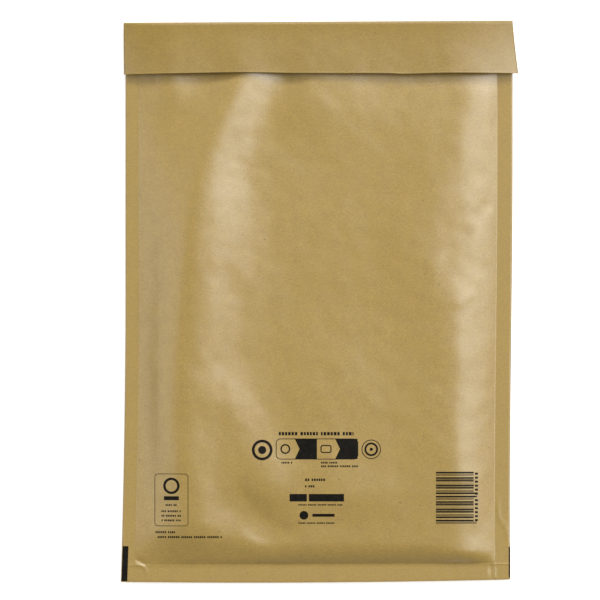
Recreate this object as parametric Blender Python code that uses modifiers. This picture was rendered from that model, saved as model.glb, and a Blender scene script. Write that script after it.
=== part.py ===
"""A padded mailing envelope: a kraft paper mailer lined with bubble film, empty, lying on its back.

Metres, +Z up. +Y runs from the bottom fold to the top fold, and +X is to the right of
someone who looks down on the front. The origin is at the middle of the footprint, on the
surface that the envelope lies on.

One kraft sheet makes the front, the bottom fold, the back, the top fold and the flap, which
is folded down over the front. A pouch of bubble film lines it, and its crushed margins lie in
the side seals. An adhesive strip under its release liner runs along the flap's inner face.
"""

import math

import bmesh
import bpy

COLLECTION = "padded_envelope"

# Outline, seen from above
HALF_LENGTH = 0.1727
LEFT_AT_BOTTOM, LEFT_AT_TOP = -0.1220, -0.1194
RIGHT_AT_BOTTOM, RIGHT_AT_TOP = 0.1171, 0.1187
FOLD_LEFT, FOLD_RIGHT = -0.1204, 0.1186
FLAP_LEFT, FLAP_RIGHT = -0.1202, 0.1220
FLAP_EDGE_Y = 0.1400
FRONT_EDGE_Y = 0.1630
CREASE_Y = -0.1610
LEFT_SEAL, RIGHT_SEAL = 0.0077, 0.0095

# Thicknesses
PAPER = 0.00015
CLEARANCE = 0.0003
STRIP = 0.0001
SEAM_HEIGHT = 0.0030
SEAM_GAP = 0.00085
STACK = 3 * CLEARANCE + 2 * STRIP

# Rise of the front above the seams: a short shoulder at the bubbles, then a long swell
SHOULDER_RISE, SHOULDER_RUN = 0.0046, 0.012
SWELL_RISE, SWELL_RUN = 0.0042, 0.070
MOUTH_RUN = 0.035
BACK_RUN = 0.016

# Bubble lining
WALL = 0.0030
LINING_MOUTH_Y = 0.1480
LINING_END_GAP = 0.0005
POCKET_INSET, POCKET_SLIT = 0.005, 0.0004
POCKET_OVERRUN = 0.005

# Adhesive strip and release liner, between the flap and the front
LINER_LOW_Y, LINER_HIGH_Y = 0.1430, 0.1610
ADHESIVE_LOW_Y, ADHESIVE_HIGH_Y = 0.1460, 0.1580
STRIP_INSET = 0.0008

# Distances from a seam at which the surfaces get a row or column of points
SEAM_STEPS = (0.002, 0.005, 0.009, 0.013, 0.016, 0.024, 0.036, 0.052, 0.072)
MIDDLE_YS = (-0.055, -0.020, 0.015, 0.050, 0.085, 0.110)
MOUTH_YS = (0.125, 0.137, 0.143, 0.148, 0.153, 0.158)
FOLD_SEGMENTS = 8

LOW_FACE = SEAM_HEIGHT - SEAM_GAP / 2 - PAPER
HIGH_FACE = SEAM_HEIGHT + SEAM_GAP / 2 + PAPER
FLAP_FACE = HIGH_FACE + STACK + PAPER
BOTTOM_RADIUS = (HIGH_FACE - LOW_FACE) / 2
TOP_RADIUS = (FLAP_FACE - LOW_FACE) / 2
FOLD_Y = HALF_LENGTH - TOP_RADIUS
BAND_END_Y = -HALF_LENGTH + BOTTOM_RADIUS


def mix(a, b, share):
    return a + (b - a) * min(max(share, 0.0), 1.0)


def rounded(distance, run):
    """0 at a seam, rising to 1 at the end of the run, where it levels out."""
    return 1 - (1 - min(max(distance / run, 0.0), 1.0)) ** 2


# Heights of the outer faces


def sides(y):
    """The left and right cuts of the body."""
    share = (y + HALF_LENGTH) / (2 * HALF_LENGTH)
    return mix(LEFT_AT_BOTTOM, LEFT_AT_TOP, share), mix(RIGHT_AT_BOTTOM, RIGHT_AT_TOP, share)


def from_seams(x, y):
    """Distances to the left and right seals and to the bottom crease, 0 outside them."""
    left, right = sides(y)
    return (
        max(x - left - LEFT_SEAL, 0.0),
        max(right - RIGHT_SEAL - x, 0.0),
        max(y - CREASE_Y, 0.0),
    )


def rise(x, y):
    """How far the front stands above its level in the seams."""
    shoulder = swell = 1.0
    for distance in from_seams(x, y):
        shoulder *= rounded(distance, SHOULDER_RUN)
        swell *= rounded(distance, SWELL_RUN)
    pillow = SHOULDER_RISE * shoulder + SWELL_RISE * swell
    return pillow * rounded(FOLD_Y - y, MOUTH_RUN)


def front_face(x, y):
    return HIGH_FACE + rise(x, y)


def flap_face(x, y):
    return FLAP_FACE + rise(x, y)


def back_face(x, y):
    """Flat on the surface, and lifted to the seams round its edges."""
    level = rounded(FOLD_Y - y, BACK_RUN)
    for distance in from_seams(x, y):
        level *= rounded(distance, BACK_RUN)
    return LOW_FACE * (1 - level)


# Rows and columns


def column_xs(left, right):
    """The x of each column of points in one row, from the left cut to the right cut."""
    inner_left, inner_right = left + LEFT_SEAL, right - RIGHT_SEAL
    middle = (inner_left + inner_right) / 2
    lefts = [inner_left + step for step in SEAM_STEPS]
    rights = [inner_right - step for step in reversed(SEAM_STEPS)]
    return [left, inner_left, *lefts, middle, *rights, inner_right, right]


def body_ys(low, high):
    """The y of each row of points in the body, from low to high."""
    ys = [CREASE_Y + step for step in SEAM_STEPS] + list(MIDDLE_YS) + list(MOUTH_YS)
    return [low, *(y for y in ys if low < y < high), high]


def row(y, cuts, face):
    """One row of the sheet's points."""
    return [(x, y, face(x, y)) for x in column_xs(*cuts)]


def half_turn(cuts, y, low, high, way):
    """The rows of a fold between two levels, in the order from low to high."""
    middle, radius = (low + high) / 2, (high - low) / 2
    rows = []
    for k in range(1, FOLD_SEGMENTS):
        angle = math.pi * k / FOLD_SEGMENTS
        point_y = y + way * radius * math.sin(angle)
        z = middle - radius * math.cos(angle)
        rows.append([(x, point_y, z) for x in column_xs(*cuts)])
    return rows


def sheet_rows():
    """Every row of the kraft sheet's outer face, from the front's top edge to the flap's edge."""
    front_ys = reversed(body_ys(CREASE_Y, FRONT_EDGE_Y))
    front = [row(y, sides(y), front_face) for y in front_ys]
    front.append(row(BAND_END_Y, sides(BAND_END_Y), front_face))
    bottom = half_turn(sides(BAND_END_Y), BAND_END_Y, LOW_FACE, HIGH_FACE, -1)
    back_ys = [BAND_END_Y, *body_ys(CREASE_Y, FRONT_EDGE_Y), FOLD_Y]
    back = [row(y, back_cuts(y), back_face) for y in back_ys]
    top = half_turn((FOLD_LEFT, FOLD_RIGHT), FOLD_Y, LOW_FACE, FLAP_FACE, 1)
    flap_ys = reversed(body_ys(FLAP_EDGE_Y, FRONT_EDGE_Y))
    flap = [row(y, flap_cuts(y), flap_face) for y in (FOLD_Y, *flap_ys)]
    return front + bottom[::-1] + back + top + flap


def back_cuts(y):
    """The back's side cuts, which run out to the flap's above the flap's edge."""
    share = (y - FLAP_EDGE_Y) / (FOLD_Y - FLAP_EDGE_Y)
    left, right = sides(y)
    return mix(left, FOLD_LEFT, share), mix(right, FOLD_RIGHT, share)


def flap_cuts(y):
    share = (FOLD_Y - y) / (FOLD_Y - FLAP_EDGE_Y)
    return mix(FOLD_LEFT, FLAP_LEFT, share), mix(FOLD_RIGHT, FLAP_RIGHT, share)


# Meshes


def placed_grid(rows):
    """A grid whose points are moved to the given rows of points."""
    grid = bmesh.new()
    across, along = len(rows[0]) - 1, len(rows) - 1
    bmesh.ops.create_grid(grid, x_segments=across, y_segments=along, size=1.0)
    grid.verts.ensure_lookup_table()
    points = [point for points in rows for point in points]
    for vert, point in zip(grid.verts, points, strict=True):
        vert.co = point
    return grid


def layer(rows, top, bottom):
    """A closed solid over a grid of (x, y) points, between a top and a bottom height."""
    solid = placed_grid([[(x, y, top(x, y)) for x, y in points] for points in rows])
    copied = bmesh.ops.extrude_face_region(solid, geom=solid.faces[:])["geom"]
    for element in copied:
        if isinstance(element, bmesh.types.BMVert):
            element.co.z = bottom(element.co.x, element.co.y)
    bmesh.ops.recalc_face_normals(solid, faces=solid.faces[:])
    return solid


def add_object(name, mesh_data, collection):
    mesh = bpy.data.meshes.new(name)
    mesh_data.to_mesh(mesh)
    mesh_data.free()
    piece = bpy.data.objects.new(name, mesh)
    collection.objects.link(piece)
    return piece


def finish(piece, color, roughness, transmission=0.0):
    material = bpy.data.materials.new(piece.name)
    material.use_nodes = True
    shader = material.node_tree.nodes["Principled BSDF"]
    shader.inputs["Base Color"].default_value = (*color, 1.0)
    shader.inputs["Roughness"].default_value = roughness
    shader.inputs["Metallic"].default_value = 0.0
    shader.inputs["Transmission Weight"].default_value = transmission
    piece.data.materials.append(material)


# Pieces


def build_kraft_sheet(parts):
    """The folded sheet: its outer face, given the paper's thickness inwards."""
    sheet = add_object("kraft_sheet", placed_grid(sheet_rows()), parts)
    thickness = sheet.modifiers.new("Paper", "SOLIDIFY")
    thickness.thickness = PAPER
    thickness.offset = 1.0
    thickness.use_even_offset = True
    finish(sheet, (0.41, 0.29, 0.10), 0.45)


def lining_top(x, y):
    return front_face(x, y) - PAPER - CLEARANCE


def lining_bottom(x, y):
    return back_face(x, y) + PAPER + CLEARANCE


def wall(x, y):
    """The bubble film's thickness, squeezed where the seams leave less room for two of them."""
    return min(WALL, (lining_top(x, y) - lining_bottom(x, y) - POCKET_SLIT) / 2)


def pocket_top(x, y):
    return lining_top(x, y) - wall(x, y)


def pocket_bottom(x, y):
    return lining_bottom(x, y) + wall(x, y)


def lining_rows():
    """The lining's points, out to the side cuts."""
    rows = []
    for y in body_ys(CREASE_Y + LINING_END_GAP, LINING_MOUTH_Y):
        left, right = sides(y)
        xs = column_xs(left, right)
        xs[0] += CLEARANCE
        xs[-1] -= CLEARANCE
        rows.append([(x, y) for x in xs])
    return rows


def pocket_rows():
    """The pocket's points: from inside the seams to beyond the lining's mouth."""
    rows = []
    for y in body_ys(CREASE_Y + POCKET_INSET, LINING_MOUTH_Y + POCKET_OVERRUN):
        left, right = sides(y)
        edge_left = left + LEFT_SEAL + POCKET_INSET
        edge_right = right - RIGHT_SEAL - POCKET_INSET
        xs = [x for x in column_xs(left, right) if edge_left < x < edge_right]
        rows.append([(x, y) for x in (edge_left, *xs, edge_right)])
    return rows


def build_bubble_lining(parts, cutters):
    """The lining as a solid, with the pocket cut out of it through its mouth."""
    lining = add_object("bubble_lining", layer(lining_rows(), lining_top, lining_bottom), parts)
    pocket = add_object("pocket_cutter", layer(pocket_rows(), pocket_top, pocket_bottom), cutters)
    pocket.hide_render = True
    pocket.display_type = "WIRE"
    cut = lining.modifiers.new("Pocket", "BOOLEAN")
    cut.operation = "DIFFERENCE"
    cut.solver = "EXACT"
    cut.object = pocket
    finish(lining, (0.86, 0.87, 0.86), 0.25, transmission=0.6)


def strip_rows(low_y, high_y):
    """The points of a strip across the flap, between the side cuts of the front."""
    rows = []
    for y in body_ys(low_y, high_y):
        left, right = sides(y)
        xs = column_xs(left, right)
        xs[0] += STRIP_INSET
        xs[-1] -= STRIP_INSET
        rows.append([(x, y) for x in xs])
    return rows


def build_strip(name, low_y, high_y, height, color, roughness, parts):
    """A thin strip that follows the front's outer face at a height above it."""

    def bottom(x, y):
        return front_face(x, y) + height

    def top(x, y):
        return bottom(x, y) + STRIP

    strip = add_object(name, layer(strip_rows(low_y, high_y), top, bottom), parts)
    finish(strip, color, roughness)


def build_closure(parts):
    liner_height = CLEARANCE
    adhesive_height = liner_height + STRIP + CLEARANCE
    white, amber = (0.85, 0.84, 0.80), (0.72, 0.62, 0.38)
    build_strip("release_liner", LINER_LOW_Y, LINER_HIGH_Y, liner_height, white, 0.30, parts)
    build_strip(
        "adhesive_strip", ADHESIVE_LOW_Y, ADHESIVE_HIGH_Y, adhesive_height, amber, 0.20, parts
    )


def new_collection(name):
    collection = bpy.data.collections.new(name)
    bpy.context.scene.collection.children.link(collection)
    return collection


def main():
    for old in list(bpy.data.objects):
        bpy.data.objects.remove(old, do_unlink=True)
    parts = new_collection(COLLECTION)
    cutters = new_collection(COLLECTION + "_cutters")
    build_kraft_sheet(parts)
    build_bubble_lining(parts, cutters)
    build_closure(parts)


main()
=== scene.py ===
"""The looks of the padded envelope: creased kraft, bubble film, closure strips, print and studio.

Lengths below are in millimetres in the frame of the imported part, and go out in metres.
"""

import math

import bmesh
import bpy
import numpy as np
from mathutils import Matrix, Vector, noise
from mathutils.bvhtree import BVHTree


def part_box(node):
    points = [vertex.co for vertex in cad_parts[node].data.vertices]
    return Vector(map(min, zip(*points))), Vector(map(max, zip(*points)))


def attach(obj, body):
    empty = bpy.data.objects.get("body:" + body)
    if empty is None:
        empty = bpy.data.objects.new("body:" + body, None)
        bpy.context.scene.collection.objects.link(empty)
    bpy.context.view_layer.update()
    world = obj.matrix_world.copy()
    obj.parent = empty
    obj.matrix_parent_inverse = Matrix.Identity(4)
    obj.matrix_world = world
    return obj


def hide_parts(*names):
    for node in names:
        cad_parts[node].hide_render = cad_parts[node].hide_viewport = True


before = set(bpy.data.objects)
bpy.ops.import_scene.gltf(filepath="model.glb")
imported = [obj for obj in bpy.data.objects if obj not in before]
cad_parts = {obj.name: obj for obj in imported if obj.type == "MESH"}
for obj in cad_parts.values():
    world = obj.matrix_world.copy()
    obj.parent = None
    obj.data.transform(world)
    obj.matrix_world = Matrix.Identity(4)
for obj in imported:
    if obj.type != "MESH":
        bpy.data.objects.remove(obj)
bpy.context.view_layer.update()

MM = 0.001


def node_box(name):
    """A node's lowest and highest corners, in millimetres."""
    low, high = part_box(name)
    return np.array(low) / MM, np.array(high) / MM


# Places taken from the frame
SHEET_LOW, SHEET_HIGH = node_box("kraft_sheet")
LINING_LOW, LINING_HIGH = node_box("bubble_lining")
LINER_LOW, LINER_HIGH = node_box("release_liner")
ADHESIVE_LOW, ADHESIVE_HIGH = node_box("adhesive_strip")
BOTTOM_Y, TOP_Y = SHEET_LOW[1], SHEET_HIGH[1]
CREASE_Y = LINING_LOW[1] - 0.5

# The sheet
PAPER = 0.15
LEFT_SEAL, RIGHT_SEAL = 7.7, 9.5
SEAM_LEVEL = 3.0
LOW_FACE, HIGH_FACE = SEAM_LEVEL - 0.45, SEAM_LEVEL + 0.45
FLAP_EDGE_Y, FRONT_EDGE_Y = 140.0, 163.0
SHOULDER_RISE, SWELL_RISE = 5.4, 1.6
FOLD_DEPTH = 0.9
BOTTOM_RADIUS = (HIGH_FACE - LOW_FACE) / 2
FOLD_Y = TOP_Y - FOLD_DEPTH
BAND_END_Y = BOTTOM_Y + BOTTOM_RADIUS

# The outer face of the flap: at its fold, and how far it lifts over the mouth at its lower edge,
# at its side cuts and then in the middle, where it also follows the padding under it
FLAP_SIDE_FACE = HIGH_FACE + 2.8
FLAP_MIDDLE_FACE = HIGH_FACE + 6.7
FLAP_SIDE_LIFT, FLAP_MIDDLE_LIFT, FLAP_PADDING_LIFT = 3.4, 2.6, 7.5

# How full the envelope is towards its mouth, and how the flap climbs over it, as (y, share);
# and how far the flap's lower edge wanders from a straight line, as (x, millimetres)
MOUTH = [(10, 1.0), (45, 0.95), (70, 0.87), (95, 0.76), (115, 0.63), (130, 0.48), (140, 0.35),
         (148, 0.27), (155, 0.20), (163, 0.10), (172, 0.0)]
FLAP_CLIMB = [(130, 1.25), (140, 1.0), (146, 0.83), (152, 0.64), (158, 0.44), (165, 0.20),
              (172, 0.0)]
FLAP_EDGE_WAVE = [(-125, -0.7), (-80, 0.2), (-46, 0.7), (-12, 0.2), (40, 0.1), (52, -0.3),
                  (80, 0.4), (125, 0.1)]

# The film, the closure and the print
BUBBLE_PITCH, BUBBLE_RADIUS, BUBBLE_HEIGHT = 11.5, 4.9, 3.0
FILM_GAP, FILM_FOLD = 0.08, 0.1
FILM_WALL = 0.12
POCKET_HALF_GAP = 0.03
STRIP_THICKNESS = 0.1
LINER_DEPTH, ADHESIVE_DEPTH, ADHESIVE_WAVER = 0.3, 0.1, 0.5
INK_LIFT = 0.035


# ---------------------------------------------------------------- shape helpers


def clamp01(value):
    return np.clip(value, 0.0, 1.0)


def rounded(distance, run):
    """0 at a seam, rising to 1 at the end of the run, where it levels out."""
    return 1 - (1 - clamp01(distance / run)) ** 2


def smooth(value):
    value = clamp01(value)
    return value * value * (3 - 2 * value)


def sides(y):
    """The left and right cuts of the body."""
    lower = clamp01(-np.asarray(y) / 172.0)
    left = -119.2 - 2.8 * lower**1.8
    right = 118.6 - 1.7 * smooth((90 - np.asarray(y)) / 220) + 0.3 * smooth((-145 - y) / 8)
    return left, right


def from_seams(x, y):
    """Distances to the left seal, the right seal and the bottom crease."""
    left, right = sides(y)
    return (
        np.maximum(x - left - LEFT_SEAL, 0.0),
        np.maximum(right - RIGHT_SEAL - x, 0.0),
        np.maximum(y - crease_y(x), 0.0),
    )


def crease_y(x):
    """The bottom crease, which runs a little out of square."""
    return CREASE_Y - 0.4 + 0.0045 * x


def wander(x, y, scale, seed, octaves=3):
    """Smooth noise over the sheet, about -1 to 1, with bumps of the given size."""
    values = np.empty(np.shape(x))
    flat = values.reshape(-1)
    pairs = zip(np.ravel(x), np.ravel(y), strict=True)
    for k, (px, py) in enumerate(pairs):
        flat[k] = noise.fractal(Vector((px / scale, py / scale, seed)), 0.6, 2.1, octaves)
    return values


def along(points, x, y):
    """For each place, its signed distance to a line of points and its share of the way along.

    The lines below run from the top down, and the distance is positive on their right as seen
    by the camera."""
    best = np.full(np.shape(x), 1e9)
    signed = np.zeros(np.shape(x))
    share = np.zeros(np.shape(x))
    last = len(points) - 1
    for k, (a, b) in enumerate(zip(points, points[1:])):
        dx, dy = b[0] - a[0], b[1] - a[1]
        t = clamp01(((x - a[0]) * dx + (y - a[1]) * dy) / (dx * dx + dy * dy))
        away = np.hypot(x - a[0] - t * dx, y - a[1] - t * dy)
        side = np.sign((y - a[1]) * dx - (x - a[0]) * dy)
        nearer = away < best
        best = np.where(nearer, away, best)
        signed = np.where(nearer, away * side, signed)
        share = np.where(nearer, (k + t) / last, share)
    return signed, share


def curve_through(points, count=24):
    """A smooth line through given points."""
    points = np.array(points, float)
    padded = np.vstack([2 * points[0] - points[1], points, 2 * points[-1] - points[-2]])
    line = []
    for t in np.linspace(0, len(points) - 1, count):
        k = min(int(t), len(points) - 2)
        u = t - k
        p0, p1, p2, p3 = padded[k : k + 4]
        slope, bend = p2 - p0, 2 * p0 - 5 * p1 + 4 * p2 - p3
        line.append(0.5 * (2 * p1 + slope * u + bend * u**2 + (3 * p1 - p0 - 3 * p2 + p3) * u**3))
    return [tuple(point) for point in line]


def profile(points, at):
    """The smooth line through points (place, value), read at other places."""
    line = np.array(curve_through(points, 80))
    return np.interp(at, line[:, 0], line[:, 1])


def fold_mark(x, y, points, height, left_run, right_run, ends):
    """A ridge, or with a negative height a valley, along a line, with a flank on each side.

    Height and runs are lists of values, evenly spaced from the start to the end. ends are the
    shares over which it starts and dies away."""
    signed, share = along(curve_through(points), x, y)

    def spread(values):
        return np.interp(share, np.linspace(0, 1, len(values)), values)

    run = np.where(signed > 0, spread(right_run), spread(left_run))
    begin = smooth(share / ends[0]) if ends[0] else 1.0
    finish = smooth((1 - share) / ends[1]) if ends[1] else 1.0
    return spread(height) * begin * finish * np.exp(-((signed / run) ** 2))


def dent(x, y, centre, radii, depth, turn=0.0):
    """A small oval hollow, or with a negative depth a bump."""
    across = (x - centre[0]) * math.cos(turn) + (y - centre[1]) * math.sin(turn)
    up = (y - centre[1]) * math.cos(turn) - (x - centre[0]) * math.sin(turn)
    return -depth * np.exp(-((across / radii[0]) ** 2) - (up / radii[1]) ** 2)


# ---------------------------------------------------------------- relief of the front

# Each: points from the top down, heights, flanks on the left and on the right, end fades
FOLDS = [
    # the long ridge down the left half, and the branch that splits from it
    ([(-43, 160), (-47, 140), (-56, 120), (-65, 101), (-71, 82), (-75, 58), (-80, 26), (-84, -11),
      (-87, -42), (-88, -68), (-86, -98), (-82, -128), (-78, -158)],
     (4.2, 4.7, 5.7, 6.4, 6.0, 5.2, 2.0), (8, 12, 17, 20, 19, 16, 15),
     (13, 16, 21, 29, 29, 23, 19), (0.0, 0.06)),
    ([(-64, -36), (-54, -66), (-40, -98), (-24, -132)], (2.0, 2.4), (14, 24), (17, 16),
     (0.35, 0.22)),
    # the crest beside the right seal
    ([(104, 150), (92, 122), (78, 92), (70, 62), (65, 38), (68, 14), (79, -14), (80, -60),
      (84, -100), (94, -145)], (1.4, 1.7), (26, 24), (18, 15), (0.10, 0.12)),
    # soft swells near the flap
    ([(-97, 160), (-92, 134), (-85, 108)], (1.2, 0.9), (9, 9), (9, 10), (0.0, 0.5)),
    ([(-5, 160), (-5, 138), (-12, 118), (-25, 94)], (3.3, 1.8), (9, 11), (40, 40), (0.0, 0.5)),
    # the right half leans a little towards the right below its middle
    ([(-5, 10), (2, -40), (6, -90), (10, -140)], (0.9, 1.6), (34, 30), (48, 42), (0.4, 0.15)),
    # small diagonals near the right seal
    ([(108, 63), (99, 55), (89, 48)], (-0.3, -0.15), (3.5, 4), (3.5, 4), (0.3, 0.4)),
    ([(96, 46), (84, 35), (73, 22)], (-0.35, -0.2), (6, 6), (5, 5), (0.3, 0.4)),
    ([(97, 8), (88, 0), (80, -4)], (0.35, 0.3), (3, 3), (3, 3), (0.3, 0.4)),
    # kinks down the left edge
    ([(-111, -4), (-104, -8), (-97, -6)], (1.1, 0.6), (3.5, 3.5), (2.5, 2.5), (0.2, 0.4)),
    ([(-111, -33), (-105, -36), (-99, -31)], (0.9, 0.5), (3.5, 3.5), (2.5, 2.5), (0.2, 0.4)),
    # the lower middle
    ([(-56, -110), (-38, -131), (-12, -150)], (-2.0, -1.5), (16, 14), (7, 8), (0.3, 0.3)),
    ([(-52, -138), (-44, -146), (-34, -154)], (0.3, 0.3), (5, 5), (4, 4), (0.3, 0.3)),
    # lines pressed into the right seal
    ([(110, -118), (110, -132), (114, -138), (116, -148)], (0.25, 0.25), (0.9, 0.9), (0.9, 0.9),
     (0.2, 0.2)),
]


def pillow(x, y):
    """The swell of the padding between the seams, without its folds.

    The shoulders rise from the seams, shorter at the bottom and steepest at its right end, and
    longer on the left below the middle, where the long ridge runs beside them."""
    left, right, bottom = from_seams(x, y)
    end = rounded(bottom, 20 - 6 * smooth((x + 70) / 45) - 6 * smooth((x - 60) / 35))
    left_run = 25 + 20 * smooth((70 - y) / 70)
    shoulder = rounded(left, left_run) * rounded(right, 26) * end
    swell = rounded(left, 50) * rounded(right, 60) * rounded(bottom, 50)
    return SHOULDER_RISE * shoulder + SWELL_RISE * swell


def folds(x, y):
    """The folds and small lumps of the front. Only the last fold reaches over a seal."""
    left, right, bottom = from_seams(x, y)
    inside = smooth(left / 15) * rounded(right, 9) * rounded(bottom, 9)
    total = np.zeros(np.shape(x))
    for points, height, left_run, right_run, ends in FOLDS[:-1]:
        total += fold_mark(x, y, points, height, left_run, right_run, ends)
    total += 0.30 * wander(x, y, 38.0, 3.0) + 0.05 * wander(x, y, 11.0, 8.0)
    return total * inside + fold_mark(x, y, *FOLDS[-1])


def pressed(x, y):
    """The small marks of the pressed bottom: the crease, its ribs and the tucked corners."""
    crease = 0.16 * np.exp(-(((y - crease_y(x) + 0.3) / 0.55) ** 2))
    below = smooth((crease_y(x) - y) / 2)
    ribs = 0.035 * np.sin(x * 2.6) * below * smooth((x - 58) / 8) * smooth((104 - x) / 8)
    left_tuck = fold_mark(x, y, [(-113.5, -158.4), (-109.4, -160.2), (-105.4, -162.3)],
                          (-0.3, -0.55, -0.3), (0.9, 1.0), (1.6, 2.6), (0.2, 0.2))
    left_arc = fold_mark(x, y, [(-116, -161.2), (-110, -162.0), (-107, -164.2), (-106.6, -168)],
                         (0.25, 0.25), (0.8, 0.8), (0.8, 0.8), (0.2, 0.2))
    right_tuck = dent(x, y, (105.4, -164.5), (1.4, 3.4), 0.4)
    right_line = dent(x, y, (107.6, -166.5), (0.6, 5.0), -0.3)
    scratch = dent(x, y, (-100.8, 135.5), (1.6, 0.5), 0.35, 0.5)
    return crease + ribs + left_tuck + left_arc + right_tuck + right_line + scratch


def front_face(x, y):
    """The level of the front's outer face."""
    mouth = profile(MOUTH, y)
    near_top = smooth((FOLD_Y - y) / 30)
    return HIGH_FACE + pillow(x, y) * mouth + folds(x, y) * near_top + pressed(x, y)


def over_padding(x, y):
    """0 at the flap's side cuts and 1 inside, where the stiff flap bridges flat."""
    left, right = flap_cuts(y)
    return rounded(x - left, 32) * rounded(right - x, 46)


def flap_fold_face(x):
    """The level of the flap's outer face along its fold."""
    level = over_padding(x, FOLD_Y)
    return FLAP_SIDE_FACE + level * (FLAP_MIDDLE_FACE - FLAP_SIDE_FACE)


def flap_face(x, y):
    """The flap climbs from its fold over the mouth, and its lower edge curls up a little."""
    level = over_padding(x, y)
    mouth = float(profile(MOUTH, FLAP_EDGE_Y))
    top = HIGH_FACE + FLAP_SIDE_LIFT + level * (FLAP_PADDING_LIFT * mouth + FLAP_MIDDLE_LIFT)
    start = FLAP_SIDE_FACE + level * (FLAP_MIDDLE_FACE - FLAP_SIDE_FACE)
    curl = 0.12 * smooth((FLAP_EDGE_Y + 1.2 - y) / 1.2) ** 2
    lumps = 0.25 * wander(x, y, 30.0, 5.0)
    bridged = 0.2 * folds(x, np.full(np.shape(x), FLAP_EDGE_Y))
    loose = level * smooth((FOLD_Y - y) / 25)
    return start + (top - start) * profile(FLAP_CLIMB, y) + curl + (lumps + bridged) * loose


def back_face(x, y):
    """The level of the back: flat on the table, and lifted to the seals at its edges."""
    level = rounded(FOLD_Y - y, 16.0)
    for distance in from_seams(x, y):
        level = level * rounded(distance, 16.0)
    return LOW_FACE * (1 - level)


# ---------------------------------------------------------------- rows and columns


def steps(*stretches):
    """Distances from 0: each stretch is its length and the number of steps that it takes."""
    found, start = [0.0], 0.0
    for length, count in stretches:
        found += list(start + length * (k + 1) / count for k in range(count))
        start += length
    return np.array(found)


EDGE_LEFT = steps((LEFT_SEAL - 1, 6), (1.0, 2), (3.0, 6), (10.0, 11))
EDGE_RIGHT = steps((RIGHT_SEAL - 1, 8), (1.0, 2), (3.0, 6), (10.0, 11))
MIDDLE_COLUMNS = 104


def column_xs(left, right):
    """The x of each column in one row, close together near the seals."""
    lefts, rights = left + EDGE_LEFT, right - EDGE_RIGHT[::-1]
    middle = np.linspace(lefts[-1], rights[0], MIDDLE_COLUMNS + 1)[1:-1]
    return np.concatenate([lefts, middle, rights])


def front_ys():
    band = np.linspace(BAND_END_Y, CREASE_Y - 2, 10)[:-1]
    crease = np.linspace(CREASE_Y - 2, CREASE_Y + 3, 12)[:-1]
    shoulder = np.linspace(CREASE_Y + 3, CREASE_Y + 18, 15)[:-1]
    middle = np.linspace(CREASE_Y + 18, FLAP_EDGE_Y, 152)[:-1]
    hidden = np.linspace(FLAP_EDGE_Y, FRONT_EDGE_Y, 10)
    return np.concatenate([band, crease, shoulder, middle, hidden])


def back_ys():
    band = np.linspace(BAND_END_Y, CREASE_Y - 1, 6)[:-1]
    shoulder = np.linspace(CREASE_Y - 1, CREASE_Y + 18, 14)[:-1]
    middle = np.linspace(CREASE_Y + 18, FOLD_Y - 18, 34)[:-1]
    top = np.linspace(FOLD_Y - 18, FOLD_Y, 12)
    return np.concatenate([band, shoulder, middle, top])


def flap_ys():
    most = np.linspace(FOLD_Y, FLAP_EDGE_Y + 2.4, 22)[:-1]
    return np.concatenate([most, np.linspace(FLAP_EDGE_Y + 2.4, FLAP_EDGE_Y, 6)])


def fold_line(x):
    """How far the top fold runs out of square."""
    return 0.0054 * (x - 120)


def end_line(x):
    """How far the bottom fold lifts away from its lowest point."""
    return 1.7 * ((x + 45) / 150) ** 2


def back_cuts(y):
    """The left and right cuts of the back, which meet the flap's at the top fold."""
    share = smooth((y - FLAP_EDGE_Y) / (FOLD_Y - FLAP_EDGE_Y))
    left, right = sides(y)
    return left + share * (-120.4 - left), right + share * (118.6 - right)


def flap_cuts(y):
    """The left and right cuts of the flap: the right one splays outwards."""
    share = clamp01((FOLD_Y - y) / (FOLD_Y - FLAP_EDGE_Y))
    return -120.4 + 0.3 * share, 118.6 + 3.4 * share**1.2


def shifted(x, y):
    """Rows near the two ends follow the lines of the folds."""
    top = smooth((y - 100) / 60) * fold_line(x)
    bottom = smooth((CREASE_Y + 4 - y) / 10) * end_line(x)
    return y + top + bottom


def half_turn(cuts, y, low, high, depth, count=8):
    """The rows of a fold that bulges by depth, between two faces, from the low one up."""
    rows, xs = [], column_xs(*cuts)
    high = high(xs) if callable(high) else np.full(len(xs), high)
    for k in range(1, count):
        angle = math.pi * k / count
        ys = shifted(xs, np.full(len(xs), y)) + depth * math.sin(angle)
        zs = (low + high) / 2 - (high - low) / 2 * math.cos(angle)
        rows.append(np.stack([xs, ys, zs], 1))
    return rows


def face_row(cuts, y, face):
    xs = column_xs(*cuts)
    ys = shifted(xs, np.full(len(xs), y))
    return np.stack([xs, ys, face(xs, ys)], 1)


def flap_row(y):
    xs = column_xs(*flap_cuts(y))
    share = clamp01((FOLD_Y - y) / (FOLD_Y - FLAP_EDGE_Y))
    ys = np.full(len(xs), y) + (1 - share) * fold_line(xs) + share**2 * profile(FLAP_EDGE_WAVE, xs)
    return np.stack([xs, ys, flap_face(xs, np.full(len(xs), y))], 1)


def sheet_rows():
    """Every row of the outer face, from the front's top edge to the flap's edge."""
    front = [face_row(sides(y), y, front_face) for y in front_ys()[::-1]]
    bottom = half_turn(sides(BAND_END_Y), BAND_END_Y, LOW_FACE, HIGH_FACE, -BOTTOM_RADIUS)[::-1]
    back = [face_row(back_cuts(y), y, back_face) for y in back_ys()]
    top = half_turn(back_cuts(FOLD_Y), FOLD_Y, LOW_FACE, flap_fold_face, FOLD_DEPTH)
    flap = [flap_row(y) for y in flap_ys()]
    return np.array(front + bottom + back + top + flap)


# ---------------------------------------------------------------- meshes


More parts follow.
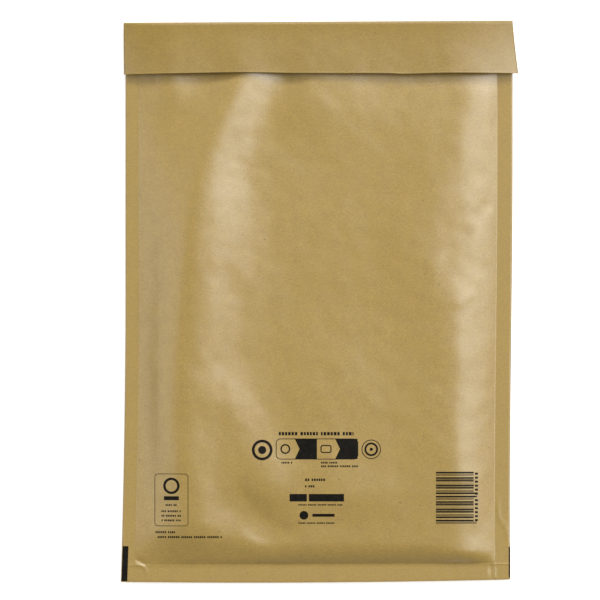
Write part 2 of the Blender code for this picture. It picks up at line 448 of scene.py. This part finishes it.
def grid_faces(rows, columns, offset=0, turned=False):
    faces = []
    for j in range(rows - 1):
        for i in range(columns - 1):
            a = offset + j * columns + i
            quad = (a, a + 1, a + columns + 1, a + columns)
            faces.append(quad[::-1] if turned else quad)
    return faces


def add_mesh(name, points, faces, material):
    mesh = bpy.data.meshes.new(name)
    mesh.from_pydata([tuple(p) for p in np.asarray(points) * MM], [], faces)
    mesh.materials.append(material)
    mesh.shade_smooth()
    mesh.update()
    piece = bpy.data.objects.new(name, mesh)
    bpy.context.scene.collection.objects.link(piece)
    return piece


def apply_modifiers(piece):
    """Bakes a piece's modifiers into its mesh."""
    seen = piece.evaluated_get(bpy.context.evaluated_depsgraph_get())
    made = bpy.data.meshes.new_from_object(seen)
    piece.modifiers.clear()
    old, piece.data = piece.data, made
    bpy.data.meshes.remove(old)


# ---------------------------------------------------------------- materials


def new_material(name):
    material = bpy.data.materials.new(name)
    material.use_nodes = True
    tree = material.node_tree
    return material, tree, tree.nodes["Principled BSDF"]


def noise_node(tree, vector, scale, detail=4.0, roughness=0.55):
    node = tree.nodes.new("ShaderNodeTexNoise")
    node.inputs["Scale"].default_value = scale
    node.inputs["Detail"].default_value = detail
    node.inputs["Roughness"].default_value = roughness
    tree.links.new(vector, node.inputs["Vector"])
    return node.outputs["Fac"]


def ramp_node(tree, factor, stops):
    node = tree.nodes.new("ShaderNodeValToRGB")
    ramp = node.color_ramp
    while len(ramp.elements) < len(stops):
        ramp.elements.new(0.5)
    for element, (place, color) in zip(ramp.elements, stops, strict=True):
        element.position = place
        element.color = (*color, 1.0)
    tree.links.new(factor, node.inputs["Fac"])
    return node.outputs["Color"]


def mix_node(tree, kind, factor, a, b):
    node = tree.nodes.new("ShaderNodeMix")
    node.data_type = "RGBA"
    node.blend_type = kind
    if isinstance(factor, float):
        node.inputs[0].default_value = factor
    else:
        tree.links.new(factor, node.inputs[0])
    for socket, value in ((node.inputs[6], a), (node.inputs[7], b)):
        if isinstance(value, tuple):
            socket.default_value = (*value, 1.0)
        else:
            tree.links.new(value, socket)
    return node.outputs[2]


def bump_node(tree, height, strength, distance, below=None):
    node = tree.nodes.new("ShaderNodeBump")
    node.inputs["Strength"].default_value = strength
    node.inputs["Distance"].default_value = distance
    tree.links.new(height, node.inputs["Height"])
    if below:
        tree.links.new(below, node.inputs["Normal"])
    return node.outputs["Normal"]


def stretched(tree, vector, scale, turn=0.0):
    node = tree.nodes.new("ShaderNodeMapping")
    node.inputs["Scale"].default_value = scale
    node.inputs["Rotation"].default_value = (0.0, 0.0, turn)
    tree.links.new(vector, node.inputs["Vector"])
    return node.outputs["Vector"]


def kraft_material():
    """Machine-glazed kraft: golden brown, cloudy, with short fibres, specks, a soft sheen and painted
    shade over the flap.
    """
    material, tree, shader = new_material("kraft_paper")
    place = tree.nodes.new("ShaderNodeTexCoord").outputs["Object"]
    clouds = noise_node(tree, place, 150.0, 5.0, 0.6)
    grain = noise_node(tree, place, 1150.0, 4.0, 0.75)
    fibres = noise_node(tree, stretched(tree, place, (520.0, 1500.0, 900.0), 0.12), 1.0, 3.0)
    base = ramp_node(tree, clouds, [(0.30, (0.328, 0.210, 0.038)), (0.70, (0.360, 0.233, 0.044))])
    fine = ramp_node(tree, grain, [(0.30, (0.80, 0.78, 0.73)), (0.70, (1.19, 1.21, 1.25))])
    short = ramp_node(tree, fibres, [(0.32, (0.93, 0.92, 0.90)), (0.64, (1.05, 1.05, 1.05))])
    color = mix_node(tree, "MULTIPLY", 1.0, base, fine)
    color = mix_node(tree, "MULTIPLY", 1.0, color, short)
    # painted shade: the colour of the flap and the top fold is darkened to stand in for how the light
    # falls there
    painted_flap_shade = flap_shade_and_gloss(tree, place, [1.0, 0.87, 0.835])
    color = mix_node(tree, "MULTIPLY", 1.0, color, painted_flap_shade)
    specks = ramp_node(tree, noise_node(tree, place, 620.0, 1.0, 0.3),
                       [(0.175, (0.45, 0.38, 0.32)), (0.20, (1.0, 1.0, 1.0))])
    color = mix_node(tree, "MULTIPLY", 1.0, color, specks)
    tree.links.new(color, shader.inputs["Base Color"])
    sheen = ramp_node(tree, clouds, [(0.25, (0.38, 0.38, 0.38)), (0.75, (0.34, 0.34, 0.34))])
    tree.links.new(sheen, shader.inputs["Roughness"])
    shader.inputs["IOR"].default_value = 1.85
    glaze = flap_shade_and_gloss(tree, place, [0.56, 0.46, 0.28])
    tree.links.new(glaze, shader.inputs["Specular IOR Level"])
    rough = bump_node(tree, fibres, 0.2, 0.0001)
    rough = bump_node(tree, grain, 0.25, 0.0001, rough)
    tree.links.new(rough, shader.inputs["Normal"])
    return material


def flap_shade_and_gloss(tree, place, values):
    """A value over the body, at the flap's edge and at its fold. In the colour it is painted shade,
    darkening the flap; in the specular level it makes the flap less glazed.
    """
    apart = tree.nodes.new("ShaderNodeSeparateXYZ")
    tree.links.new(place, apart.inputs["Vector"])
    span = tree.nodes.new("ShaderNodeMapRange")
    span.inputs["From Min"].default_value = (FLAP_EDGE_Y - 1.0) * MM
    span.inputs["From Max"].default_value = FOLD_Y * MM
    tree.links.new(apart.outputs["Y"], span.inputs["Value"])
    stops = [(at, (value,) * 3) for at, value in zip((0.0, 0.03, 0.9), values, strict=True)]
    return ramp_node(tree, span.outputs["Result"], stops)


def ink_material():
    """Black ink on kraft: a little worn, with the grain of the paper showing through."""
    material, tree, shader = new_material("black_print")
    place = tree.nodes.new("ShaderNodeTexCoord").outputs["Object"]
    grain = noise_node(tree, place, 1700.0, 4.0, 0.65)
    patches = noise_node(tree, place, 320.0, 3.0)
    black = ramp_node(tree, grain, [(0.45, (0.003, 0.003, 0.002)), (0.80, (0.022, 0.016, 0.008))])
    worn = ramp_node(tree, patches, [(0.35, (0.75, 0.75, 0.75)), (0.75, (1.6, 1.5, 1.4))])
    tree.links.new(mix_node(tree, "MULTIPLY", 1.0, black, worn), shader.inputs["Base Color"])
    sheen = ramp_node(tree, patches, [(0.3, (0.42, 0.42, 0.42)), (0.7, (0.52, 0.52, 0.52))])
    tree.links.new(sheen, shader.inputs["Roughness"])
    tree.links.new(bump_node(tree, grain, 0.2, 0.00008), shader.inputs["Normal"])
    shader.inputs["Specular IOR Level"].default_value = 0.12
    return material


def film_material():
    """Milky bubble film: pale, glossy and a little see-through, with fine draw lines."""
    material, tree, shader = new_material("bubble_film")
    place = tree.nodes.new("ShaderNodeTexCoord").outputs["Object"]
    clouds = noise_node(tree, place, 90.0, 4.0)
    lines = noise_node(tree, stretched(tree, place, (40.0, 900.0, 40.0)), 1.0, 3.0)
    base = ramp_node(tree, clouds, [(0.3, (0.80, 0.82, 0.82)), (0.7, (0.90, 0.91, 0.90))])
    drawn = ramp_node(tree, lines, [(0.35, (0.95, 0.95, 0.95)), (0.65, (1.0, 1.0, 1.0))])
    tree.links.new(mix_node(tree, "MULTIPLY", 1.0, base, drawn), shader.inputs["Base Color"])
    gloss = ramp_node(tree, clouds, [(0.3, (0.16, 0.16, 0.16)), (0.7, (0.28, 0.28, 0.28))])
    tree.links.new(gloss, shader.inputs["Roughness"])
    tree.links.new(bump_node(tree, lines, 0.3, 0.0001), shader.inputs["Normal"])
    shader.inputs["IOR"].default_value = 1.5
    return material


def liner_material():
    """Siliconised release paper: off-white, smooth, with faint stripes across the strip."""
    material, tree, shader = new_material("release_paper")
    place = tree.nodes.new("ShaderNodeTexCoord").outputs["Object"]
    stripes = noise_node(tree, stretched(tree, place, (500.0, 60.0, 60.0)), 1.0, 3.0)
    clouds = noise_node(tree, place, 180.0, 4.0)
    base = ramp_node(tree, clouds, [(0.3, (0.80, 0.79, 0.74)), (0.7, (0.87, 0.86, 0.82))])
    faint = ramp_node(tree, stripes, [(0.35, (0.96, 0.96, 0.95)), (0.65, (1.0, 1.0, 1.0))])
    tree.links.new(mix_node(tree, "MULTIPLY", 1.0, base, faint), shader.inputs["Base Color"])
    sheen = ramp_node(tree, clouds, [(0.3, (0.34, 0.34, 0.34)), (0.7, (0.44, 0.44, 0.44))])
    tree.links.new(sheen, shader.inputs["Roughness"])
    tree.links.new(bump_node(tree, stripes, 0.15, 0.0001), shader.inputs["Normal"])
    return material


def adhesive_material():
    """Pale amber hot-melt, glossy and slightly uneven."""
    material, tree, shader = new_material("hot_melt")
    place = tree.nodes.new("ShaderNodeTexCoord").outputs["Object"]
    beads = noise_node(tree, stretched(tree, place, (120.0, 700.0, 300.0)), 1.0, 4.0)
    base = ramp_node(tree, beads, [(0.3, (0.64, 0.53, 0.30)), (0.7, (0.78, 0.69, 0.46))])
    tree.links.new(base, shader.inputs["Base Color"])
    gloss = ramp_node(tree, beads, [(0.3, (0.12, 0.12, 0.12)), (0.7, (0.24, 0.24, 0.24))])
    tree.links.new(gloss, shader.inputs["Roughness"])
    tree.links.new(bump_node(tree, beads, 0.5, 0.0002), shader.inputs["Normal"])
    return material


# ---------------------------------------------------------------- pieces


def build_sheet(material):
    rows = sheet_rows()
    count, columns = rows.shape[:2]
    sheet = add_mesh("kraft_wrapper", rows.reshape(-1, 3), grid_faces(count, columns), material)
    paper = sheet.modifiers.new("Paper", "SOLIDIFY")
    paper.thickness = PAPER * MM
    paper.offset = 1.0
    apply_modifiers(sheet)
    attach(sheet, "root")
    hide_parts("kraft_sheet")
    return sheet


# ---------------------------------------------------------------- lining and closure


def film_room(x, y):
    """The depth that one film may take up between the paper and the middle of the pocket."""
    inside = (front_face(x, y) - back_face(x, y)) / 2 - PAPER - FILM_GAP
    return np.clip(inside - POCKET_HALF_GAP, 0.05, BUBBLE_HEIGHT + 0.2)


def bubbles(x, y):
    """How far the film stands out at each place: round bubbles in staggered rows, 0 to 1."""
    pitch_y = BUBBLE_PITCH * math.sqrt(3) / 2
    height = np.zeros(np.shape(x))
    for shift in (0.0, 1.0):
        row = np.round((y / pitch_y - shift) / 2) * 2 + shift
        column = np.round(x / BUBBLE_PITCH - shift / 2) + shift / 2
        away = np.hypot(x - column * BUBBLE_PITCH, y - row * pitch_y) / BUBBLE_RADIUS
        height = np.maximum(height, np.sqrt(1 - np.minimum(away, 1.0) ** 4))
    return height


def film_points(x, y, front, outer):
    """One face of the film: its bubbles towards the paper, or its flat side in the pocket."""
    room = film_room(x, y)
    left, right, bottom = from_seams(x, y)
    free = smooth(left / 5) * smooth(right / 5) * smooth(bottom / 6) * smooth((149 - y) / 5)
    reach = room - FILM_WALL
    sunk = reach * (1 - bubbles(x, y) * free * smooth((room - 0.4) / 1.2))
    depth = PAPER + FILM_GAP + (sunk if outer else room)
    return front_face(x, y) - depth if front else back_face(x, y) + depth


def lining_grid(front, outer):
    """Points of one face of the folded film, in rows from the mouth to the bottom."""
    step_x, step_y = BUBBLE_PITCH / 6, BUBBLE_PITCH * math.sqrt(3) / 12
    low, high = LINING_LOW[1] + 1 + (0 if outer else FILM_FOLD), LINING_HIGH[1]
    ys = np.arange(math.ceil(low / step_y), math.floor(high / step_y) + 1) * step_y
    ys = np.concatenate([[low], ys[1:-1], [high]])[::-1]
    left, right = sides(ys)
    first, last = math.ceil(left.max() / step_x) + 1, math.floor(right.min() / step_x) - 1
    xs = np.arange(first, last + 1) * step_x
    x = np.stack([np.concatenate([[a + 0.5], xs, [b - 0.5]]) for a, b in zip(left, right)])
    y = np.repeat(ys[:, None], x.shape[1], axis=1)
    return np.stack([x, y, film_points(x, y, front, outer)], 2)


def build_lining(material):
    """Bubble film folded at the bottom and sealed flat at both sides, open at the mouth."""
    sides_out = [lining_grid(True, True), lining_grid(False, True)[::-1]]
    sides_in = [lining_grid(True, False), lining_grid(False, False)[::-1]]
    outer, inner = np.concatenate(sides_out), np.concatenate(sides_in)
    rows, columns = outer.shape[:2]
    points = np.concatenate([outer.reshape(-1, 3), inner.reshape(-1, 3)])
    half = rows * columns
    faces = grid_faces(rows, columns) + grid_faces(rows, columns, half, turned=True)
    for j in range(rows - 1):
        a, b = j * columns, (j + 1) * columns
        faces.append((a, b, half + b, half + a))
        a, b = a + columns - 1, b + columns - 1
        faces.append((b, a, half + a, half + b))
    for i in range(columns - 1):
        faces.append((i + 1, i, half + i, half + i + 1))
        a = (rows - 1) * columns + i
        faces.append((a, a + 1, half + a + 1, half + a))
    lining = add_mesh("bubble_film", points, faces, material)
    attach(lining, "root")
    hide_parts("bubble_lining")


def build_strip(name, node, box, depth, waver, material):
    """A thin strip across the inner face of the flap, at a depth under the flap's outer face."""
    low, high = box
    xs = np.linspace(low[0], high[0], 120)
    shares = np.linspace(0, 1, 12)
    rows = []
    for share in shares:
        ys = np.full(len(xs), high[1] + share * (low[1] - high[1]))
        if share in (0, 1):
            ys = ys + waver * wander(xs, xs * 0 + 50 * share, 16.0, 12.0)
        rows.append(np.stack([xs, ys, flap_face(xs, ys) - depth], 1))
    rows = np.array(rows)
    strip = add_mesh(name, rows.reshape(-1, 3), grid_faces(len(shares), len(xs)), material)
    body = strip.modifiers.new("Thickness", "SOLIDIFY")
    body.thickness = STRIP_THICKNESS * MM
    body.offset = 1.0
    apply_modifiers(strip)
    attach(strip, "root")
    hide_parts(node)


# ---------------------------------------------------------------- print


class Print:
    """Flat shapes in ink, each a grid of small cells, which are then laid on the paper."""

    def __init__(self):
        self.points, self.faces = [], []

    def grid(self, rows):
        """A patch from rows of places, all rows of the same length."""
        start, columns = len(self.points), len(rows[0])
        for row in rows:
            self.points += row
        self.faces += grid_faces(len(rows), columns, start)

    def between(self, y0, y1, left, right, cell=1.4):
        """A patch from y0 up to y1 between two sides, given as numbers or functions of y."""
        left_at = left if callable(left) else (lambda y: left)
        right_at = right if callable(right) else (lambda y: right)
        count = max(1, math.ceil((y1 - y0) / cell))
        widest = max(right_at(y) - left_at(y) for y in (y0, (y0 + y1) / 2, y1))
        columns = max(1, math.ceil(widest / cell))
        rows = []
        for j in range(count + 1):
            y = y1 - (y1 - y0) * j / count
            a, b = left_at(y), right_at(y)
            rows.append([(a + (b - a) * i / columns, y) for i in range(columns + 1)])
        self.grid(rows)

    def line(self, points, width, closed=False):
        """A drawn line of even width."""
        points = [np.array(p, float) for p in points]
        if closed:
            points.append(points[0])
        fine = [points[0]]
        for a, b in zip(points, points[1:]):
            pieces = max(1, math.ceil(np.hypot(*(b - a)) / 1.6))
            fine += [a + (b - a) * (k + 1) / pieces for k in range(pieces)]
        inner, outer = [], []
        for k, p in enumerate(fine):
            before = fine[k - 1] if k else (fine[-2] if closed else p)
            after = fine[k + 1] if k + 1 < len(fine) else (fine[1] if closed else p)
            way = after - before
            normal = np.array([-way[1], way[0]]) / np.hypot(*way) * width / 2
            inner.append(tuple(p + normal))
            outer.append(tuple(p - normal))
        self.grid([inner, outer])

    def ring(self, centre, radius, width, count=40):
        around = [2 * math.pi * k / count for k in range(count)]
        self.line(
            [(centre[0] + radius * math.cos(t), centre[1] - radius * math.sin(t)) for t in around],
            width,
            closed=True,
        )

    def disc(self, centre, radius):
        def half(y):
            return math.sqrt(max(radius**2 - (y - centre[1]) ** 2, 0.0))

        reach = 0.99 * radius
        self.between(centre[1] - reach, centre[1] + reach, lambda y: centre[0] - half(y),
                     lambda y: centre[0] + half(y), cell=radius / 7)

    def dashes(self, x0, x1, y, height, seed):
        """A line of small blocks in groups, where fine print would be."""
        x, k = x0, 0
        while x < x1 - 0.5:
            share = 0.5 + 0.5 * noise.noise(Vector((k * 1.7, seed * 9.1, 0.5)))
            width = min(height * (0.45 + 0.5 * share), x1 - x)
            self.between(y - height / 2, y + height / 2, x, x + width, cell=3.0)
            x += width + height * (0.28 if (k * 7 + seed) % 6 else 0.95)
            k += 1

    def rounded_box(self, low, high, radius, width):
        corners = [((high[0] - radius, high[1] - radius), 0), ((low[0] + radius, high[1] - radius), 1),
                   ((low[0] + radius, low[1] + radius), 2), ((high[0] - radius, low[1] + radius), 3)]
        points = []
        for (cx, cy), quarter in corners:
            for k in range(6):
                angle = math.pi / 2 * (quarter + k / 5)
                points.append((cx + radius * math.cos(angle), cy + radius * math.sin(angle)))
        self.line(points[::-1], width, closed=True)


def draw_label_strip(ink):
    """A rounded strip of plain cells with arrow ends, alternately filled, and its lines of dashes."""
    low_y, high_y, tip = -96.6, -84.2, 2.9
    middle = (low_y + high_y) / 2
    ink.rounded_box((-26.6, low_y), (23.5, high_y), 2.6, 0.45)

    def arrow(x):
        return lambda y: x + tip * (1 - abs(y - middle) / ((high_y - low_y) / 2))

    ink.between(low_y, high_y, arrow(-15.2), -1.6, cell=0.9)
    ink.between(low_y, high_y, arrow(9.6), 23.3, cell=0.9)
    ink.ring((-21.0, middle), 2.6, 0.9)
    ink.rounded_box((0.9, middle - 2.1), (7.0, middle + 2.1), 1.0, 0.7)
    ink.dashes(-25.0, 20.8, -81.0, 2.0, 1)
    ink.dashes(-23.4, -16.4, -98.8, 1.1, 2)
    ink.dashes(0.9, 11.6, -98.8, 1.1, 3)
    ink.dashes(0.9, 23.7, -101.0, 1.1, 4)


def draw_round_marks(ink):
    """A target of rings on each side of the label strip."""
    ink.ring((-35.2, -91.0), 5.5, 1.7)
    ink.disc((-35.2, -91.0), 2.5)
    ink.ring((31.7, -90.6), 5.7, 0.5)
    ink.ring((31.7, -90.6), 3.6, 1.2)
    ink.disc((31.7, -90.6), 1.0)


def draw_middle_block(ink):
    """Plain blocks, a dot and lines of dashes below the label strip."""
    ink.dashes(-8.9, 4.2, -109.3, 1.5, 5)
    ink.dashes(-8.9, -2.6, -113.3, 1.3, 6)
    ink.between(-122.6, -118.0, -18.4, -7.8)
    ink.between(-122.6, -118.0, -6.6, 15.0)
    ink.dashes(-13.0, 14.0, -124.7, 0.9, 7)
    ink.disc((-9.6, -131.1), 2.7)
    ink.between(-132.0, -130.2, -4.4, 9.2)
    ink.dashes(-13.0, 9.4, -135.9, 0.9, 8)


def draw_left_box(ink):
    """A rounded box with a ring, a bar and dashes in it, and two lines of dashes below."""
    ink.rounded_box((-101.1, -137.6), (-80.7, -105.7), 1.8, 0.35)
    ink.ring((-90.9, -113.0), 4.3, 1.5)
    ink.between(-121.8, -119.4, -95.5, -86.3)
    ink.dashes(-94.5, -87.3, -124.8, 1.1, 9)
    ink.dashes(-97.0, -84.8, -128.6, 1.1, 10)
    ink.dashes(-97.0, -84.8, -131.4, 1.1, 11)
    ink.dashes(-97.0, -84.8, -134.2, 1.1, 12)
    ink.dashes(-100.7, -88.2, -141.5, 1.2, 13)
    ink.dashes(-99.4, -59.5, -144.5, 1.2, 14)


def draw_bar_code(ink):
    """Level bars of a few widths, with small ticks down their right end."""
    low_y, high_y, module = -136.2, -104.4, 0.335
    y, k = low_y, 0
    while y < high_y - module:
        bar = module * (1 + (3 * k * k + k) % 4)
        reach = 96.6 if k in (0, 1, 14, 15) else 94.6
        ink.between(y, min(y + bar, high_y), 71.4, reach, cell=2.2)
        y += bar + module * (1 + (k * k + 2 * k) % 3)
        k += 1
    for k in range(12):
        at = low_y + 1.4 + k * 2.45 + (1.6 if k > 5 else 0.0)
        ink.between(at, at + 1.3, 95.4, 97.2, cell=2.2)


def draw_eye_marks(ink):
    """The black register marks at the bottom of both cut edges."""
    ink.between(-171.8, -150.2, lambda y: -121.7 + (y + 171.6) * 0.035,
                lambda y: -118.1 + (y + 171.6) * 0.035)
    ink.between(-170.6, -150.6, 116.2, lambda y: sides(y)[1] - 0.15, cell=1.6)


def laid_on(sheet, points):
    """Places on the sheet's front, a hair above the paper, found by looking straight down."""
    tree = BVHTree.FromObject(sheet, bpy.context.evaluated_depsgraph_get())
    laid = []
    for x, y in points:
        hit = tree.ray_cast(Vector((x * MM, y * MM, 0.1)), Vector((0, 0, -1)))[0]
        level = hit.z / MM if hit else float(front_face(np.array([x]), np.array([y]))[0])
        laid.append((x, y, level + INK_LIFT))
    return laid


def build_print(sheet, material):
    ink = Print()
    for draw in (draw_label_strip, draw_round_marks, draw_middle_block, draw_left_box,
                 draw_bar_code, draw_eye_marks):
        draw(ink)
    piece = add_mesh("printed_marks", laid_on(sheet, ink.points), ink.faces, material)
    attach(piece, "root")


# ---------------------------------------------------------------- studio


def build_floor():
    material, _, shader = new_material("studio_floor")
    shader.inputs["Base Color"].default_value = (0.90, 0.90, 0.89, 1.0)
    shader.inputs["Roughness"].default_value = 0.9
    shader.inputs["Specular IOR Level"].default_value = 0.1
    shader.inputs["Emission Color"].default_value = (1.0, 1.0, 1.0, 1.0)
    shader.inputs["Emission Strength"].default_value = 0.5
    mesh = bpy.data.meshes.new("floor")
    plane = bmesh.new()
    bmesh.ops.create_grid(plane, x_segments=1, y_segments=1, size=4.0)
    plane.to_mesh(mesh)
    plane.free()
    mesh.materials.append(material)
    floor = bpy.data.objects.new("floor", mesh)
    floor.location.z = -0.0002
    bpy.context.scene.collection.objects.link(floor)


def add_light(name, place, aim, size, power):
    """A soft box that shines from a place at an aim, in metres and watts."""
    data = bpy.data.lights.new(name, "AREA")
    data.shape = "RECTANGLE"
    data.size, data.size_y = size
    data.energy = power
    light = bpy.data.objects.new(name, data)
    light.location = place
    light.rotation_euler = (Vector(aim) - Vector(place)).to_track_quat("-Z", "Y").to_euler()
    bpy.context.scene.collection.objects.link(light)


def build_studio():
    world = bpy.data.worlds.new("studio")
    bpy.context.scene.world = world
    world.use_nodes = True
    background = world.node_tree.nodes["Background"]
    background.inputs["Color"].default_value = (1.0, 1.0, 1.0, 1.0)
    background.inputs["Strength"].default_value = 0.31
    centre = (0.0, 0.0, 0.0)
    add_light("key_right", (4.1, 2.4, 5.8), centre, (5.4, 6.0), 430)
    add_light("top_soft", (0.0, 6.2, 5.0), centre, (6.0, 2.5), 360)
    add_light("fill_left", (-5.7, 0.0, 5.0), centre, (3.0, 6.0), 78)
    scene = bpy.context.scene
    scene.view_settings.view_transform = "Standard"
    scene.view_settings.look = "None"


def build_camera():
    """Straight above the front, so far away that heights hardly shift what is seen.

    framed is the width of the view at the envelope, in metres."""
    distance, framed = 6.0, 0.3682
    centre_x, centre_y = -0.012, 0.001
    data = bpy.data.cameras.new("camera")
    data.sensor_width = 36.0
    data.lens = data.sensor_width * distance / framed
    camera = bpy.data.objects.new("camera", data)
    camera.location = (centre_x, centre_y, distance + 0.01)
    bpy.context.scene.collection.objects.link(camera)
    bpy.context.scene.camera = camera


def main():
    sheet = build_sheet(kraft_material())
    build_lining(film_material())
    build_strip("peel_strip", "release_liner", (LINER_LOW, LINER_HIGH),
                PAPER + LINER_DEPTH, 0.0, liner_material())
    build_strip("glue_strip", "adhesive_strip", (ADHESIVE_LOW, ADHESIVE_HIGH),
                PAPER + ADHESIVE_DEPTH, ADHESIVE_WAVER, adhesive_material())
    build_print(sheet, ink_material())
    build_floor()
    build_studio()
    build_camera()


main()
